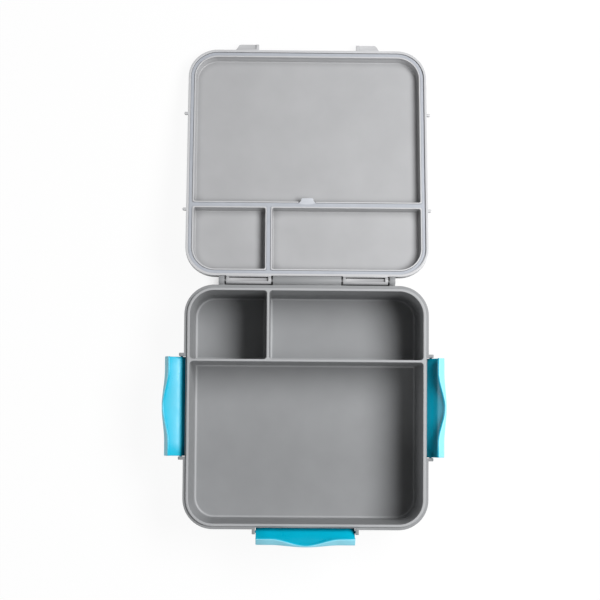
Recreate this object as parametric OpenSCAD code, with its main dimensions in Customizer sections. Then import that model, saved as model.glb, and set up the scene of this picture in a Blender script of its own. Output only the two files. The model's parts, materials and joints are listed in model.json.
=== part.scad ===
// Bento lunch box, shown open: a square tub with three moulded compartments, a hinged lid
// laid back on the table with its silicone seal facing up, and three swing clips half open.
// Millimetres. The origin is the middle of the tub's underside, +X to the right,
// +Y towards the hinge, +Z up.

/* [Tub] */
// Width of the rim, from left to right
tub_w = 200; // [180:1:240]
// Length of the rim, from front to hinge
tub_l = 199; // [180:1:240]
// Height of the rim above the table
tub_h = 52; // [44:1:70]
// Radius of the rim's outer corners
corner_r = 24.5; // [20:0.5:30]
// Thickness of the walls
wall_t = 2; // [1.6:0.1:2.6]
// Thickness of the floor
floor_t = 2; // [1.6:0.1:3]
// Lean of a wall between rim and floor
wall_lean = 1.1; // [0.4:0.1:2]
// Radius between the walls and the floor
floor_fillet = 4; // [2:0.5:6]
// Height of the flat panel that the tub stands on
stand_h = 0.6; // [0.4:0.1:1]
// Width of the step around that panel
stand_step = 1.5; // [1:0.1:4]

/* [Rim] */
// Width of the ledge outside the sealing bead
ledge_w = 2.4; // [1.8:0.1:3.2]
// Width of the sealing bead
bead_w = 2.2; // [1.8:0.1:3]
// Height of the bead above the ledge
bead_h = 1.5; // [1.2:0.1:2.2]
// Thickness of the rim's flange
flange_t = 2; // [1.5:0.1:3]

/* [Dividers] */
// Thickness of a divider at its top
divider_t = 2; // [1.6:0.1:3]
// Lean of a divider's face between top and floor
divider_lean = 0.6; // [0.2:0.1:1.2]
// From the rim's hinge side to the middle of the cross divider
cross_divider_at = 61.7; // [50:0.1:100]
// From the rim's left side to the middle of the short divider
short_divider_at = 68.3; // [50:0.1:110]
// Radius of a compartment's corners beside a divider
divider_corner_r = 2.5; // [1.5:0.1:5]

/* [Lid] */
// Height of the lid's top above the rim
lid_rise = 9.3; // [8:0.1:14]
// Height of the lid's edge above the rim
lid_edge_rise = 4.8; // [4.2:0.1:6]
// Thickness of the lid's panels
lid_t = 1.8; // [1.4:0.1:2.4]
// Lean of the wall around the lid's raised top
lid_lean = 2.2; // [1:0.1:4]
// Rounding of the lid's upper edges
lid_edge_r = 1.5; // [0.8:0.1:2]
// Thickness of the rib inside the seal frame
rib_t = 1.1; // [0.8:0.1:1.6]
// Thickness of the ribs beside the seal bars
bar_rib_t = 1; // [0.8:0.1:1.6]
// How far the ribs dip below the rim's bead
rib_dip = 0.7; // [0.4:0.1:1.1]
// Length of a finger tab along the lid's front edge
finger_tab_len = 17.7; // [12:0.1:24]
// How far a finger tab stands out of the front edge
finger_tab_out = 5; // [3:0.1:8]
// Slant of a finger tab's outer end
finger_tab_slant = 3.8; // [1:0.1:6]
// Thickness of a finger tab
finger_tab_t = 2; // [1.4:0.1:3]
// Width of a clip guide on the lid's side edges
guide_w = 2.4; // [1.6:0.1:3.2]
// How far a clip guide stands out of the edge
guide_out = 3; // [2:0.1:4]
// Height of a clip guide
guide_h = 2.7; // [2:0.1:4]

/* [Seal] */
// Width of the seal bars over the dividers
bar_w = 3.5; // [3:0.1:5]
// Length of the pull tab along the cross bar
pull_tab_len = 10.5; // [6:0.1:16]
// How far the pull tab stands out of the cross bar
pull_tab_out = 5.6; // [4:0.1:8]
// Thickness of the pull tab
pull_tab_t = 1.2; // [0.8:0.1:1.6]

/* [Hinge] */
// Radius of the hinge barrels
barrel_r = 3.4; // [3:0.1:4.5]
// Diameter of a hinge pin
hinge_pin_d = 2.5; // [2:0.1:3]
// Half the length of the tub's centre barrel
centre_barrel_half = 28.4; // [20:0.1:32]
// Length of a lid knuckle
knuckle_len = 37.6; // [25:0.1:40]
// Length of a tub end block
end_block_len = 4.7; // [3:0.1:7]
// How deep a pin is seated in the centre barrel
pin_seat = 4.4; // [3:0.1:10]
// Width of the pocket moulded into a lid knuckle
pocket_w = 3.2; // [2:0.1:4]
// Depth of that pocket
pocket_depth = 1.2; // [0.5:0.1:1.3]

/* [Clips] */
// Length of a clip
clip_len = 80.8; // [70:0.1:90]
// Thickness of a clip's plate
clip_t = 2; // [1.6:0.1:2.6]
// Height of a clip above its pivot
clip_h = 15.2; // [13:0.1:18]
// Thickness of a clip's hook
hook_t = 2.1; // [1.6:0.1:2.6]
// How far the hook reaches over the lid
hook_reach = 5.4; // [4:0.1:5.8]
// Length of the finger tab in the middle of a clip
clip_tab_len = 58; // [40:1:66]
// How far that tab rises above the hook
clip_tab_rise = 2.5; // [1:0.1:4]
// Radius of a clip's barrel
clip_barrel_r = 2; // [1.7:0.1:2.2]
// Radius of a clip's stub pins
stub_r = 1; // [0.8:0.05:1.2]
// Thickness of an ear on the tub
ear_t = 2.6; // [2:0.1:3.4]
// Depth of the relief in the flange beside a clip
clip_relief = 1.5; // [0.5:0.1:2]

/* [Pose] */
// Angle of the left clip from closed
left_clip_open = 62; // [0:1:110]
// Angle of the right clip from closed
right_clip_open = 43; // [0:1:110]
// Angle of the front clip from closed
front_clip_open = 42; // [0:1:110]

/* [Hidden] */

// Colours of the moulded pieces
tub_grey = "#a3a6a8";
lid_grey = "#b2b5b7";
seal_grey = "#a5abb7";
clip_turquoise = "#00afcd";
pin_steel = "#c4c6c8";

// Clearances
rim_gap = 0.4;
lid_gap = 0.3;
seal_fit = 0.05;
hinge_gap = 0.4;
hinge_end_gap = 0.6;
pin_run = 0.08;
pin_press = 0.02;
stub_run = 0.05;
stub_end_gap = 0.3;
clip_end_gap = 0.5;
clip_side_gap = 1;
hook_gap = 0.3;
table_gap = 0.1;

// How far a cutter runs past the face that it opens
cut = 1;
// How far joined shapes run into each other
weld = 1;
// Steps of an arc in a profile, and of a corner in a lofted ring
arc_steps = 5;
corner_steps = 8;
$fn = 64;

// Rim, seen as distances in from the outer edge
half_w = tub_w / 2;
half_l = tub_l / 2;
bead_in = ledge_w + bead_w;
wall_out = bead_in - wall_t;
ledge_z = tub_h - bead_h;
base_edge_r = floor_fillet + floor_t;
floor_z = stand_h + floor_t;
stand_in = wall_out + wall_lean + base_edge_r + stand_step;
bead_round = 0.6;
flange_round = 0.5;
core_in = bead_in + wall_lean + floor_fillet + weld;

// Dividers
cross_y = half_l - cross_divider_at;
short_x = short_divider_at - half_w;

// No lean on any side of a ring
upright = [0, 0, 0, 0];

// Lid, closed on the rim
lip_t = ledge_w - rim_gap;
groove_in = bead_in + rim_gap;
recess_in = groove_in + rib_t;
ridge_half = bar_w / 2 + bar_rib_t;
ridge_lean = 0.5;
lip_z = ledge_z + lid_gap;
rib_z = tub_h - rib_dip;
edge_z = tub_h + lid_edge_rise;
ceiling_z = edge_z - lid_t;
top_z = tub_h + lid_rise;
panel_z = top_z - lid_t;
lid_slope = lid_lean / (panel_z - rib_z);
top_foot_in = recess_in + lid_slope * (edge_z - rib_z) - lid_t;
top_edge_in = top_foot_in + lid_slope * (top_z - lid_edge_r - edge_z);
recess_fillet = 1;

// Seal
seal_z = tub_h + lid_gap;
notch_gap = 1.2;
notch_half = pull_tab_len / 2 + notch_gap;
pull_tab_lift = 0.5;
pull_tab_z = seal_z + pull_tab_lift;
notch_z = pull_tab_z + pull_tab_t + lid_gap;

// Hinge
hinge_y = half_l + barrel_r + hinge_gap;
hinge_rise = 0.5;
hinge_z = ledge_z + hinge_rise;
web_drop = 3;
knuckle_from = centre_barrel_half + hinge_end_gap;
knuckle_to = knuckle_from + knuckle_len;
block_from = knuckle_to + hinge_end_gap;
block_to = block_from + end_block_len;
pin_from = centre_barrel_half - pin_seat;
pocket_end = 2.4;

// The lid laid back: its raised top's far edge rests on the table
far_y = hinge_y + half_l - top_edge_in - lid_edge_r;
far_z = top_z - lid_edge_r - hinge_z;
lay_angle = asin((hinge_z - lid_edge_r - table_gap) / norm([far_y, far_z])) - atan2(far_z, far_y);
lid_open = 180 + lay_angle;

// Clips and ears, placed from the pivot
pivot_out = clip_t / 2 + clip_side_gap;
pivot_z = edge_z + hook_gap - (clip_h - hook_t);
ear_from = clip_len / 2 + clip_end_gap;
ear_wall = 1;
ear_r = stub_r + ear_wall;
ear_foot = 5.5;
ear_chamfer = 0.8;
ear_root = pivot_out + wall_out + weld;
least_lip = 0.5;
crown_r = 1.6;
hook_bend = 0.6;
hook_nose = 1;
hook_edge = 0.3;
barrel_steps = 14;
stub_from = clip_len / 2 - weld;
stub_to = ear_from + ear_t - stub_end_gap;

echo(lay_angle = lay_angle, hinge = [hinge_y, hinge_z], pivot = [half_w + pivot_out, pivot_z]);

// Points of an arc
function arc(centre, r, from, to, steps = arc_steps) =
    [for (i = [0:steps])
        let (a = from + (to - from) * i / steps)
        centre + r * [cos(a), sin(a)]];

// The three compartments as [x0, x1, y0, y1]: main, small and wide
function compartments(edge, mid) = [
    [edge - half_w, half_w - edge, edge - half_l, cross_y - mid],
    [edge - half_w, short_x - mid, cross_y + mid, half_l - edge],
    [short_x + mid, half_w - edge, cross_y + mid, half_l - edge]];

// Their corner radii: front right, rear right, rear left, front left
function compartment_radii(edge) =
    let (big = corner_r - edge, small = divider_corner_r)
    [[big, small, small, big], [small, small, big, small], [small, big, small, small]];

// Which sides of a compartment are outer walls: x0, x1, y0, y1
outer_sides = [[1, 1, 1, 0], [1, 0, 0, 1], [0, 1, 0, 1]];

// How far each side leans in where an outer wall leans by wall and a divider by divider
function side_lean(sides, wall, divider) = [for (s = sides) s ? wall : divider];

// One ring of a rounded box whose sides are drawn in by lean
function ring(box, radii, lean, z) =
    let (
        x = [box[0] + lean[0], box[1] - lean[1]],
        y = [box[2] + lean[2], box[3] - lean[3]],
        side_x = [1, 1, 0, 0],
        side_y = [0, 1, 1, 0])
    [for (q = [0:3])
        let (
            drawn = (lean[side_x[q]] + lean[2 + side_y[q]]) / 2,
            r = max(radii[q] - drawn, 0.5),
            cx = x[side_x[q]] + (side_x[q] ? -r : r),
            cy = y[side_y[q]] + (side_y[q] ? -r : r))
        for (i = [0:corner_steps])
            let (a = 90 * (q - 1 + i / corner_steps))
            [cx + r * cos(a), cy + r * sin(a), z]];

// A closed solid through a list of rings, from the lowest to the highest
module loft(rings) {
    n = len(rings[0]);
    last = len(rings) - 1;
    sides = [for (k = [0:last - 1], i = [0:n - 1])
        let (a = k * n + i, b = k * n + (i + 1) % n)
        each [[a, a + n, b + n], [a, b + n, b]]];
    caps = [[for (i = [0:n - 1]) i], [for (i = [n - 1:-1:0]) last * n + i]];
    polyhedron([for (r = rings) each r], concat(sides, caps));
}

// The rim's outline, drawn in from its edge
module outline(inset) {
    square([tub_w - 2 * inset, tub_l - 2 * corner_r], center = true);
    square([tub_w - 2 * corner_r, tub_l - 2 * inset], center = true);
    for (x = [-1, 1], y = [-1, 1])
        translate([x * (half_w - corner_r), y * (half_l - corner_r)])
            circle(corner_r - inset);
}

// A profile of [inset, z] points carried round the rim's outline
module round_rim(profile) {
    points = [for (p = profile) [corner_r - p[0], p[1]]];
    reach = [half_w - corner_r, half_l - corner_r];
    for (side = [0:3]) {
        along = side % 2;
        rotate(90 * side)
            translate([reach[along], 0, 0])
                rotate([90, 0, 0])
                    linear_extrude(2 * reach[1 - along], center = true)
                        polygon(points);
        rotate(90 * side)
            translate([reach[along], reach[1 - along], 0])
                rotate_extrude(angle = 90)
                    polygon(points);
    }
}

// The tub's walls, floor and rim, still filled up to the top
module tub_block() {
    foot_in = wall_out + wall_lean;
    round_rim(concat(
        [[core_in, stand_h]],
        arc([foot_in + base_edge_r, stand_h + base_edge_r], base_edge_r, 270, 180),
        [[wall_out, ledge_z - flange_t], [flange_round, ledge_z - flange_t]],
        [[0, ledge_z - flange_t + flange_round], [0, ledge_z - flange_round]],
        [[flange_round, ledge_z], [ledge_w, ledge_z]],
        arc([ledge_w + bead_round, tub_h - bead_round], bead_round, 180, 90),
        [[core_in, tub_h]]));
    translate([0, 0, stand_h])
        linear_extrude(tub_h - stand_h)
            outline(core_in - weld);
}

// The panel under the floor that the tub stands on, with its corners cut off
module stand_panel() {
    x = [half_w - stand_in, half_w - corner_r];
    y = [half_l - stand_in, half_l - corner_r];
    linear_extrude(stand_h + floor_t / 2)
        polygon([
            [x[0], -y[1]], [x[0], y[1]], [x[1], y[0]], [-x[1], y[0]],
            [-x[0], y[1]], [-x[0], -y[1]], [-x[1], -y[0]], [x[1], -y[0]]]);
}

// The space of one compartment, open at the top
module compartment(i) {
    box = compartments(bead_in, divider_t / 2)[i];
    radii = compartment_radii(bead_in)[i];
    lean = side_lean(outer_sides[i], wall_lean, divider_lean);
    bend = arc([0, floor_fillet], floor_fillet, 270, 360);
    loft(concat(
        [for (p = bend)
            ring(box, radii, lean + (floor_fillet - p[0]) * [1, 1, 1, 1], floor_z + p[1])],
        [ring(box, radii, upright, tub_h), ring(box, radii, upright, tub_h + cut)]));
}

// Puts its children at a side's pivot, with x outward, y along the side and z up
module at_pivot(turn, reach) {
    rotate(turn)
        translate([reach + pivot_out, 0, pivot_z])
            children();
}

// The relief in the flange between a pair of ears, which bares the clip's barrel
module relief() {
    reach = clip_relief + cut;
    translate([-pivot_out - clip_relief, -ear_from, ledge_z - flange_t - cut - pivot_z])
        cube([reach, 2 * ear_from, flange_t + 2 * cut]);
}

// A pair of ears with their pin holes
module ears() {
    top = ledge_z - pivot_z;
    for (end = [-1, 1])
        translate([0, end * (ear_from + ear_t / 2), 0])
            rotate([90, 0, 0])
                linear_extrude(ear_t, center = true)
                    difference() {
                        union() {
                            polygon([[-ear_root, top], [ear_r - ear_chamfer, top],
                                [ear_r, top - ear_chamfer], [ear_r, 0], [0, -ear_r],
                                [-ear_root, -ear_foot]]);
                            circle(ear_r);
                        }
                        circle(stub_r + stub_run);
                    }
}

// A hinge barrel between two places on the axis, carried by a web, with the pin's bore
module barrel(from, to, web, bore) {
    translate([from, 0, 0])
        rotate([90, 0, 90])
            linear_extrude(to - from)
                difference() {
                    union() {
                        translate([hinge_y, hinge_z])
                            circle(barrel_r);
                        polygon(web);
                    }
                    if (bore > 0)
                        translate([hinge_y, hinge_z])
                            circle(bore);
                }
}

tub_web = [[half_l - wall_out - weld, ledge_z - flange_t - web_drop], [hinge_y, hinge_z - barrel_r],
    [hinge_y, ledge_z], [half_l - wall_out - weld, ledge_z]];
lid_web = [[half_l - weld, lip_z], [hinge_y, lip_z], [hinge_y, hinge_z + barrel_r],
    [half_l - weld, hinge_z + barrel_r]];

module base_tub() {
    bore = hinge_pin_d / 2 + pin_press;
    color(tub_grey) {
        difference() {
            tub_block();
            for (i = [0:2])
                compartment(i);
            at_pivot(0, half_w)
                relief();
            at_pivot(180, half_w)
                relief();
            at_pivot(270, half_l)
                relief();
        }
        stand_panel();
        at_pivot(0, half_w)
            ears();
        at_pivot(180, half_w)
            ears();
        at_pivot(270, half_l)
            ears();
        difference() {
            barrel(-centre_barrel_half, centre_barrel_half, tub_web, 0);
            for (end = [-1, 1])
                translate([end * centre_barrel_half, hinge_y, hinge_z])
                    rotate([0, 90, 0])
                        cylinder(h = 2 * pin_seat, r = bore, center = true);
        }
        barrel(block_from, block_to, tub_web, bore);
        barrel(-block_to, -block_from, tub_web, bore);
    }
}

// Lays the closed lid back about the hinge
module laid_back() {
    translate([0, hinge_y, hinge_z])
        rotate([-lid_open, 0, 0])
            translate([0, -hinge_y, -hinge_z])
                children();
}

// The lid with its lip and raised top, still filled inside
module lid_block() {
    lip_round = 0.3;
    round_rim(concat(
        [[core_in, rib_z], [lip_t, rib_z], [lip_t, lip_z], [lip_round, lip_z], [0, lip_z + lip_round]],
        arc([lid_edge_r, edge_z - lid_edge_r], lid_edge_r, 180, 90),
        [[top_foot_in, edge_z]],
        arc([top_edge_in + lid_edge_r, top_z - lid_edge_r], lid_edge_r, 180, 90),
        [[core_in, top_z]]));
    translate([0, 0, rib_z])
        linear_extrude(top_z - rib_z)
            outline(core_in - weld);
}

// One recess in the lid's underside
module lid_recess(i) {
    box = compartments(recess_in, ridge_half)[i];
    radii = compartment_radii(recess_in)[i];
    lean = side_lean(outer_sides[i], lid_lean, ridge_lean);
    loft([
        ring(box, radii, upright, rib_z - cut),
        ring(box, radii, upright, ceiling_z),
        ring(box, radii, lean, panel_z - recess_fillet),
        ring(box, radii, lean + recess_fillet * 0.3 * [1, 1, 1, 1], panel_z - recess_fillet * 0.3),
        ring(box, radii, lean + recess_fillet * [1, 1, 1, 1], panel_z)]);
}

// Plan of the seal or of its channel: a frame and a T of bars around three windows, narrowed by fit
module seal_plan(fit) {
    edge = groove_in - fit;
    windows = compartments(edge, bar_w / 2 - fit);
    difference() {
        outline(lip_t + fit);
        for (i = [0:2])
            polygon([for (p = ring(windows[i], compartment_radii(edge)[i], upright, 0)) [p[0], p[1]]]);
    }
}

// A finger tab at the right of the front clip
module finger_tab() {
    translate([ear_from, -half_l, lip_z])
        linear_extrude(finger_tab_t)
            polygon([[0, weld], [finger_tab_len, weld], [finger_tab_len, 0],
                [finger_tab_len - finger_tab_slant, -finger_tab_out], [0, -finger_tab_out]]);
}

// A clip guide on the right edge
module clip_guide() {
    r = guide_w / 2;
    translate([half_w, ear_from + ear_t / 2, lip_z])
        linear_extrude(guide_h) {
            translate([(guide_out - r - weld) / 2, 0])
                square([guide_out - r + weld, guide_w], center = true);
            translate([guide_out - r, 0])
                circle(r);
        }
}

// A knuckle of the lid at the right of the centre barrel, with its moulded pocket
module knuckle() {
    pocket_len = knuckle_len - 2 * pocket_end;
    difference() {
        barrel(knuckle_from, knuckle_to, lid_web, hinge_pin_d / 2 + pin_run);
        translate([knuckle_from + pocket_end, hinge_y - pocket_w / 2, hinge_z - barrel_r - cut])
            cube([pocket_len, pocket_w, pocket_depth + cut]);
    }
}

module lid_shell() {
    color(lid_grey)
        laid_back() {
            difference() {
                lid_block();
                for (i = [0:2])
                    lid_recess(i);
                translate([0, 0, lip_z - cut])
                    linear_extrude(ceiling_z - lip_z + cut)
                        seal_plan(0);
                translate([-notch_half, cross_y - ridge_half - ridge_lean, rib_z - cut])
                    cube([2 * notch_half, ridge_half + ridge_lean, notch_z - rib_z + cut]);
            }
            for (side = [0, 1])
                mirror([side, 0, 0]) {
                    finger_tab();
                    knuckle();
                    for (end = [0, 1])
                        mirror([0, end, 0])
                            clip_guide();
                }
        }
}

module lid_seal() {
    color(seal_grey)
        laid_back() {
            translate([0, 0, seal_z])
                linear_extrude(ceiling_z - seal_z)
                    seal_plan(seal_fit);
            translate([-pull_tab_len / 2, cross_y - bar_w / 2 - pull_tab_out, pull_tab_z])
                cube([pull_tab_len, pull_tab_out + weld, pull_tab_t]);
        }
}

// How much of the hook is left at a place along the clip: 0 in the middle, 1 at the ends
function hook_share(y) =
    let (t = min(abs(y) / (clip_tab_len / 2), 1))
    (1 - cos(180 * t)) / 2;

// Cross-section of a clip: a barrel, a plate and a hook that turns inward at the plate's top
function clip_section(y) =
    let (
        share = hook_share(y),
        lip = least_lip + (hook_reach - least_lip) * share,
        top = clip_h + clip_tab_rise * (1 - share),
        half = clip_t / 2,
        under = top - hook_t,
        bend = min(hook_bend, lip / 2),
        nose = min(hook_nose, lip * 0.8),
        crown = arc([half - crown_r, top - crown_r], crown_r, 90, 0),
        root = acos(half / clip_barrel_r),
        points = concat(
            arc([0, 0], clip_barrel_r, root, -180 - root, barrel_steps),
            [[-half, under - bend], [-half - 0.8 * bend, under]],
            [[-half - lip + bend / 2, under], [-half - lip, under + hook_edge], [-half - lip, top - nose]],
            [[-half - lip + 0.3 * nose, top - 0.3 * nose], [-half - lip + nose, top]],
            crown))
    [for (p = points) [p[0], y, p[1]]];

// A closed clip about its pivot
module clip() {
    half = clip_len / 2;
    waves = 24;
    stations = concat([-half], [for (i = [0:waves]) clip_tab_len * (i / waves - 0.5)], [half]);
    loft([for (y = stations) clip_section(y)]);
    for (end = [-1, 1])
        translate([0, end * (stub_from + stub_to) / 2, 0])
            rotate([90, 0, 0])
                cylinder(h = stub_to - stub_from, r = stub_r, center = true);
}

module left_clip() {
    color(clip_turquoise)
        at_pivot(180, half_w)
            rotate([0, left_clip_open, 0])
                clip();
}

module right_clip() {
    color(clip_turquoise)
        at_pivot(0, half_w)
            rotate([0, right_clip_open, 0])
                clip();
}

module front_clip() {
    color(clip_turquoise)
        at_pivot(270, half_l)
            rotate([0, front_clip_open, 0])
                clip();
}

// A pin from the centre barrel's end to the end block's outer face
module hinge_pin() {
    color(pin_steel)
        translate([pin_from, hinge_y, hinge_z])
            rotate([0, 90, 0])
                cylinder(h = block_to - pin_from, d = hinge_pin_d);
}

module left_hinge_pin() {
    mirror([1, 0, 0])
        hinge_pin();
}

module right_hinge_pin() {
    hinge_pin();
}

base_tub();
lid_shell();
lid_seal();
left_clip();
right_clip();
front_clip();
left_hinge_pin();
right_hinge_pin();
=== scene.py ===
import json
from math import acos, cos, degrees, pi, radians, sin, sqrt

import bmesh
import bpy
from bpy.props import FloatProperty, FloatVectorProperty, IntProperty, PointerProperty
from mathutils import Matrix, Vector


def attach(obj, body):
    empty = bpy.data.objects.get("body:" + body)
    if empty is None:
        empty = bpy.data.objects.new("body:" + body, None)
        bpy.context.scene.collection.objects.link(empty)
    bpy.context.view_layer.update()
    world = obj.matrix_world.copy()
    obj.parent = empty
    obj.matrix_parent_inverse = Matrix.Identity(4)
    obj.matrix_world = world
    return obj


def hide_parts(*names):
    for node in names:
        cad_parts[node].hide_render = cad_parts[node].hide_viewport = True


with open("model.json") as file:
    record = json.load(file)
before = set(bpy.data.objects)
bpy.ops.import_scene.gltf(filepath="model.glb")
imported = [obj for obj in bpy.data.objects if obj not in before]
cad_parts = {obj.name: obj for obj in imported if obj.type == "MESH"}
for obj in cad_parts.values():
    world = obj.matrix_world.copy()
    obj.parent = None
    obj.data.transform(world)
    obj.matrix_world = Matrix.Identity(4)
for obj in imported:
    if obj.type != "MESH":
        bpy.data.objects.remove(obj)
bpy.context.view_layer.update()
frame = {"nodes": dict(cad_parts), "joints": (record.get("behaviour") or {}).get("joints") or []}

bl_info = {
    "name": "Bento Lunch Box",
    "version": (1, 0, 0),
    "blender": (4, 5, 0),
    "location": "3D View > Sidebar > Lunch Box",
    "description": "Dresses the packed lunch box with its moulded pieces, finishes and studio stage",
    "category": "Object",
}

MM = 0.001

# Joint places and angles, as packed
JOINTS = {joint["name"]: joint for joint in frame["joints"]}
HINGE = Vector(JOINTS["lid_hinge"]["pos_m"])
HINGE_YZ = (HINGE.y, HINGE.z)
LID_OPEN = radians(JOINTS["lid_hinge"]["range_deg"][1])
SIDE_PIVOT = Vector(JOINTS["right_clip_swing"]["pos_m"])
FRONT_PIVOT = Vector(JOINTS["front_clip_swing"]["pos_m"])
PIVOT_OUT = 2.0 * MM
HINGE_BELOW_RIM = 1.0 * MM

# Fineness of the meshes
CORNER_STEPS = 14
ROUND_STEPS = 6
EDGE_STEPS = 4
FILLET_STEPS = 8
FOOT_STEPS = 10
GUIDE_STEPS = 12
BORE_STEPS = 40
BARREL_STEPS = 36
LEAST_RADIUS = 0.3 * MM
SHADE_MARGIN = 0.5 * MM
LONG_SPAN = 6 * SHADE_MARGIN
SHARP_ANGLE = radians(34)

# How far shapes run into each other before they are joined or cut
OVERLAP = 1 * MM


def described(name, more):
    """The label and the longer description of a setting."""
    return {"name": name, "description": f"{name} {more}".strip()}


def number(name, default, more="", **settings):
    """A number that a user can change."""
    return FloatProperty(**described(name, more), default=default, **settings)


def size(name, default, more="", scale=MM):
    """A length that a user can change, given in millimetres unless scale says otherwise."""
    return number(name, default * scale, more, unit="LENGTH", precision=5)


def angle(name, default, more):
    """An angle in degrees that a user can change."""
    return number(name, radians(default), more, subtype="ANGLE")


def colour(name, default, more=""):
    """A linear colour that a user can change."""
    return FloatVectorProperty(
        **described(name, more), default=default, subtype="COLOR", size=3, min=0.0, max=1.0
    )


class TubSizes(bpy.types.PropertyGroup):
    """Sizes of the tub, its rim, dividers, ears and hinge barrels."""

    half_w: size("Half width", SIDE_PIVOT.x - PIVOT_OUT, "of the rim", 1)
    half_l: size("Half length", -FRONT_PIVOT.y - PIVOT_OUT, "of the rim", 1)
    rim_z: size("Rim height", HINGE.z + HINGE_BELOW_RIM, "above the table", 1)
    corner_r: size("Corner radius", 24.5, "of the rim's outer edge")
    wall_t: size("Wall thickness", 2)
    floor_t: size("Floor thickness", 2)
    wall_lean: size("Wall lean", 3.2, "between rim and floor")
    floor_fillet: size("Floor fillet", 2.2, "at the foot of the walls")
    stand_h: size("Stand height", 0.6, "of the panel that the tub stands on")
    stand_step: size("Stand step", 1.5, "around that panel")
    ledge_w: size("Ledge width", 2.4, "outside the sealing bead")
    bead_w: size("Bead width", 2.2, "on the rim")
    bead_h: size("Bead height", 1.5, "above the ledge")
    flange_t: size("Flange thickness", 2, "of the rim")
    edge_round: size("Edge rounding", 0.5, "of the compartments at the top")
    divider_t: size("Divider thickness", 2, "at the top")
    divider_lean: size("Divider lean", 1.1, "of each face between top and floor")
    divider_r: size("Divider corner", 2.5, "radius of a compartment beside a divider")
    cross_y: size("Cross divider", 37.8, "from the middle")
    short_x: size("Short divider", -31.7, "from the middle")
    ear_from: size("Ear distance", 40.9, "from a clip's middle")
    ear_t: size("Ear thickness", 2.6)
    ear_r: size("Ear radius", 2, "around the stub pin")
    ear_foot: size("Ear foot", 5.5, "down the wall below the pin")
    clip_relief: size("Clip relief", 1.5, "in the flange beside a clip")
    stub_bore: size("Stub bore", 1.05, "radius for a clip's stub pin")
    barrel_r: size("Barrel radius", 3.4, "of the hinge")
    pin_bore: size("Pin bore", 1.27, "radius for a hinge pin")
    centre_barrel: size("Centre barrel", 28, "from its middle to an end")
    pin_seat: size("Pin seat", 4, "depth in the centre barrel")
    block_from: size("End block", 67.5, "from the middle")
    block_len: size("End block length", 4.7)
    shelf_drop: size("Shelf drop", 4.1, "from the hinge's axis, under each knuckle")
    shelf_out: size("Shelf reach", 2.6, "past the hinge's axis")
    shelf_t: size("Shelf thickness", 1)


class LidSizes(bpy.types.PropertyGroup):
    """Sizes of the lid, measured on the closed lid."""

    rise: size("Rise", 9.3, "of the lid's top above the rim")
    edge_rise: size("Edge rise", 4.8, "above the rim")
    skin_t: size("Thickness", 1.8, "of the panels")
    lean: size("Lean", 1.0, "of the wall around the raised top")
    ridge_lean: size("Ridge lean", 0.5, "of a recess's walls beside the seal bars")
    edge_r: size("Edge rounding", 1.5, "on top")
    recess_r: size("Recess fillet", 1, "between a recess's walls and its panel")
    lip_t: size("Lip thickness", 2, "outside the seal")
    groove_in: size("Groove", 5, "from the outer edge to the rib inside the seal")
    rib_t: size("Rib thickness", 1.1, "inside the seal")
    bar_rib_t: size("Bar rib thickness", 1, "beside the seal bars")
    rib_dip: size("Rib dip", 0.5, "below the rim")
    rib_corner_r: size("Rib corner", 1.6, "radius beside the bars")
    lip_gap: size("Lip gap", 0.3, "above the ledge")
    notch_half: size("Notch", 7.2, "for the pull tab, half its width")
    notch_rise: size("Notch height", 2.3, "of its bottom above the rim")
    knuckle_r: size("Knuckle radius", 3.2)
    knuckle_from: size("Knuckle", 29.3, "from the middle")
    knuckle_len: size("Knuckle length", 36.9)
    pocket_w: size("Pocket width", 3.2, "in a knuckle")
    pocket_depth: size("Pocket depth", 1.8)
    pocket_end: size("Pocket end", 2.4, "from the knuckle's end")
    slit_w: size("Slit width", 0.7, "along the pocket's lid side")
    slit_depth: size("Slit depth", 2.2, "below the pocket")
    pin_bore: size("Pin bore", 1.33, "radius in a knuckle")
    tab_len: size("Finger tab length", 19.6)
    tab_out: size("Finger tab reach", 5, "out from the edge")
    tab_slant: size("Finger tab slant", 4.4, "of the outer end")
    tab_t: size("Finger tab thickness", 2.4)
    tab_block: size("Finger tab block", 2.5, "width at the inner end")
    tab_step: size("Finger tab step", 0.8, "from that block down")
    guide_w: size("Guide width", 2.4, "of a clip guide")
    guide_out: size("Guide reach", 3, "out from the edge")
    guide_h: size("Guide height", 2.7)


class SealSizes(bpy.types.PropertyGroup):
    """Sizes of the silicone seal."""

    fit: size("Fit", 0.05, "on each side of the groove")
    face_rise: size("Face height", 0.1, "above the rim")
    edge_r: size("Edge rounding", 0.35)
    bar_w: size("Bar width", 3.5, "over the dividers")
    tab_len: size("Pull tab length", 10.4, "along the cross bar")
    tab_out: size("Pull tab reach", 4.4, "out of the bar")
    tab_t: size("Pull tab thickness", 1.2)
    tab_lift: size("Pull tab lift", 0.4, "behind the seal's face")
    gusset_steps: IntProperty(**described("Gusset steps", "in a rounded inner corner"), default=8, min=3)


class ClipSizes(bpy.types.PropertyGroup):
    """Sizes of a swing clip, measured on the closed clip from its pivot."""

    length: size("Length", 80.8, "of a clip")
    plate_t: size("Plate thickness", 2)
    height: size("Height", 15.2, "above the pivot")
    hook_t: size("Hook thickness", 2.1)
    hook_reach: size("Hook reach", 5.4, "over the lid at the clip's ends")
    least_lip: size("Least lip", 0.5, "of the hook in the clip's middle")
    tab_len: size("Tab length", 58, "of the finger tab in the middle")
    tab_rise: size("Tab rise", 2.5, "above the hook")
    barrel_r: size("Barrel radius", 2, "around the pivot")
    heel_len: size("Heel", 4, "below the pivot")
    stub_r: size("Stub radius", 1)
    stub_to: size("Stub end", 43.2, "from the clip's middle")
    crown_r: size("Crown", 1.6, "rounding of the outer top edge")
    end_round: size("End rounding", 0.6)


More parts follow.
